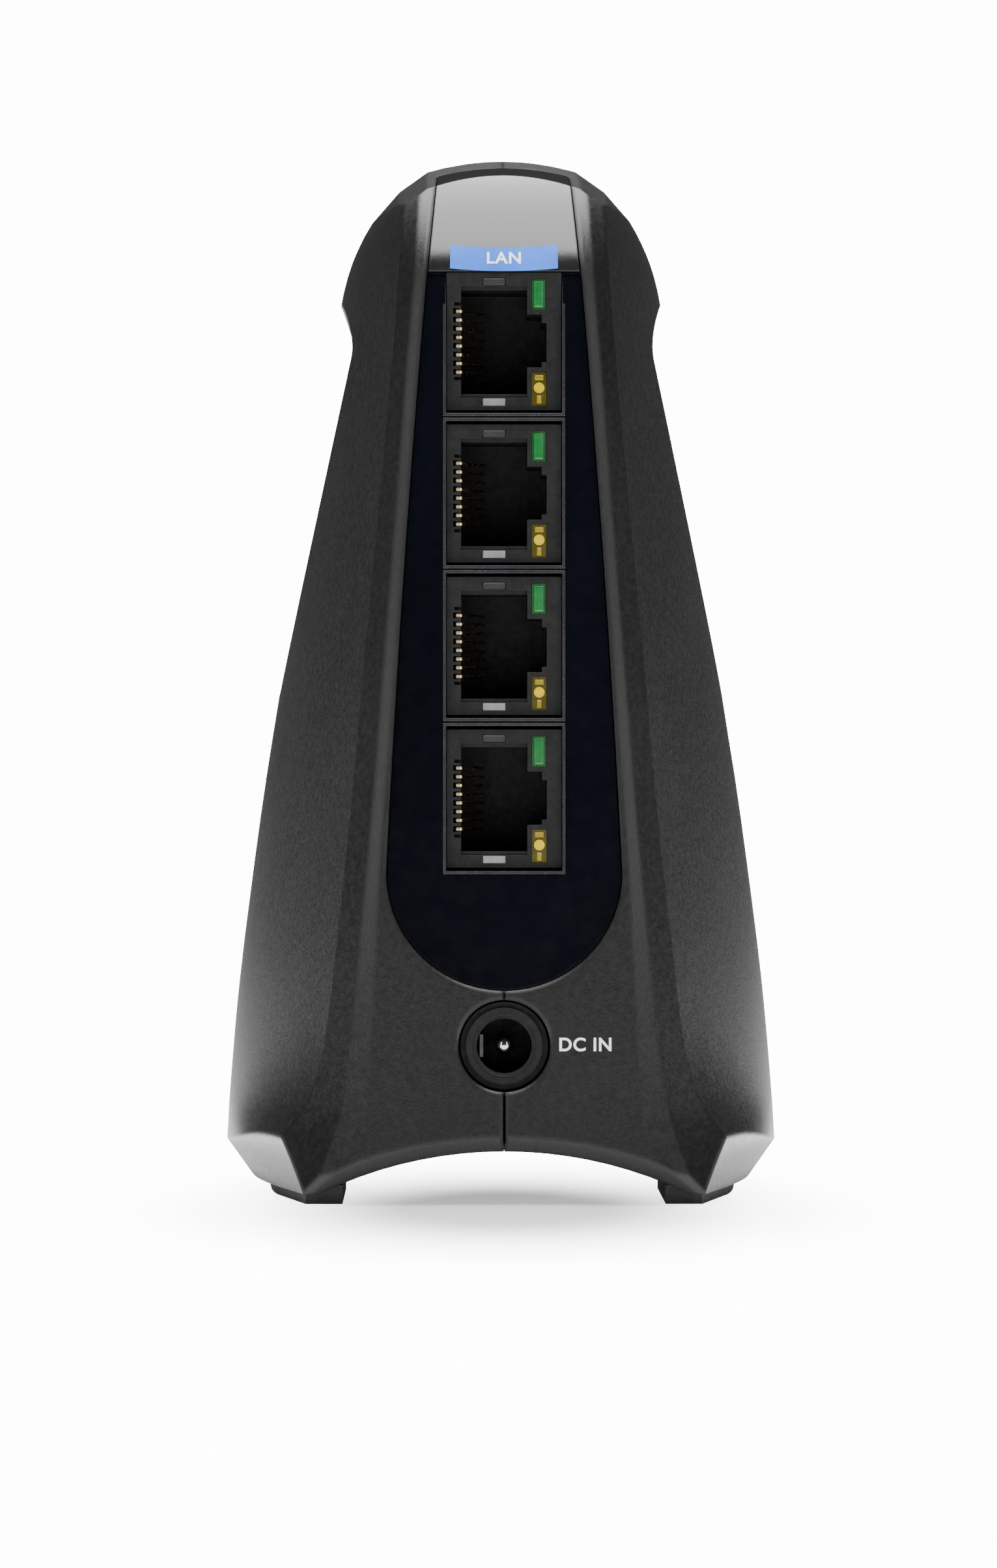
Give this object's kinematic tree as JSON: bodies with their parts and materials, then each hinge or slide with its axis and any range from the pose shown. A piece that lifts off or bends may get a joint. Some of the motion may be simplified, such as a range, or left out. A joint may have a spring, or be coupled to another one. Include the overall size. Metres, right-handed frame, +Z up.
{
  "type": "upright network unit",
  "caption": "Upright A-shaped desktop network box with a column of network sockets, a DC inlet, an arched base and a front pairing button.",
  "frame": {"origin": "middle of the footprint, on the surface it stands on", "axes": "-Y out of the port end, +X to the right seen from that end, +Z up"},
  "size_m": [0.0676, 0.1296, 0.1254],
  "materials": {
    "housing": "fine-grain matt moulded black",
    "gloss_panel": "polished near-black navy",
    "label": "printed blue, satin",
    "jack_plastic": "moulded black, slightly rough",
    "contact_gold": "gold-plated spring wire",
    "light_green": "clear green, lit",
    "light_amber": "clear yellow, lit",
    "tin_plate": "tinned sheet",
    "pin_nickel": "nickel-plated",
    "rubber": "soft matt rubber",
    "board": "green solder mask",
    "chip_black": "moulded epoxy",
    "sink": "black anodised",
    "pad_grey": "soft silicone pad",
    "can_sleeve": "shrunk sleeve",
    "ceramic_part": "fired ceramic with tinned ends",
    "ferrite": "moulded ferrite",
    "frame_plastic": "moulded grey-black",
    "screw_steel": "zinc-plated",
    "lead_jacket": "coaxial jacket",
    "lens_dark": "smoked, polished",
    "light_clear": "clear light pipe",
    "button_grey": "satin dark grey",
    "plate_silver": "blank silver foil label"
  },
  "bodies": {
    "housing": {"amber_port_lights": "light_amber", "antenna_front": "board", "antenna_leads": "lead_jacket", "antenna_rear": "board", "board_screws": "screw_steel", "chassis": "frame_plastic", "chip_capacitors": "ceramic_part", "crystal": "tin_plate", "dc_jack": "jack_plastic", "dc_pin": "pin_nickel", "dc_spring": "tin_plate", "earth_tabs": "tin_plate", "ethernet_transformers": "chip_black", "flash_chip": "chip_black", "foot_front_left": "rubber", "foot_front_right": "rubber", "foot_rear_left": "rubber", "foot_rear_right": "rubber", "foot_screws": "screw_steel", "front_lens": "lens_dark", "green_port_lights": "light_green", "heat_sink": "sink", "jack_1": "jack_plastic", "jack_2": "jack_plastic", "jack_3": "jack_plastic", "jack_4": "jack_plastic", "jack_contacts_1": "contact_gold", "jack_contacts_2": "contact_gold", "jack_contacts_3": "contact_gold", "jack_contacts_4": "contact_gold", "left_shell": "housing", "light_board": "board", "light_board_link": "board", "light_guide": "light_clear", "main_board": "board", "memory_chips": "chip_black", "pairing_switch": "chip_black", "port_label": "label", "port_panel": "gloss_panel", "power_capacitors": "can_sleeve", "power_coils": "ferrite", "processor": "chip_black", "radio_board": "board", "radio_can": "tin_plate", "radio_header": "jack_plastic", "rating_plate": "plate_silver", "reset_switch": "chip_black", "right_shell": "housing", "status_lights": "light_clear", "switch_chip": "chip_black", "thermal_pad": "pad_grey", "top_cap": "gloss_panel"},
    "pairing": {"pairing_button": "button_grey", "pairing_switch_plunger": "button_grey"},
    "reset": {"reset_button": "button_grey", "reset_switch_plunger": "button_grey"}
  },
  "joints": [
    {"name": "pairing_press", "type": "slide", "parent": "housing", "child": "pairing", "axis": [0, -1, 0], "range_m": [0, 0.0006], "stiffness_N_per_m": 1500, "springref_m": -0.0005},
    {"name": "reset_press", "type": "slide", "parent": "housing", "child": "reset", "axis": [0, 0, 1], "range_m": [0, 0.0004], "stiffness_N_per_m": 1500, "springref_m": -0.0005}
  ]
}
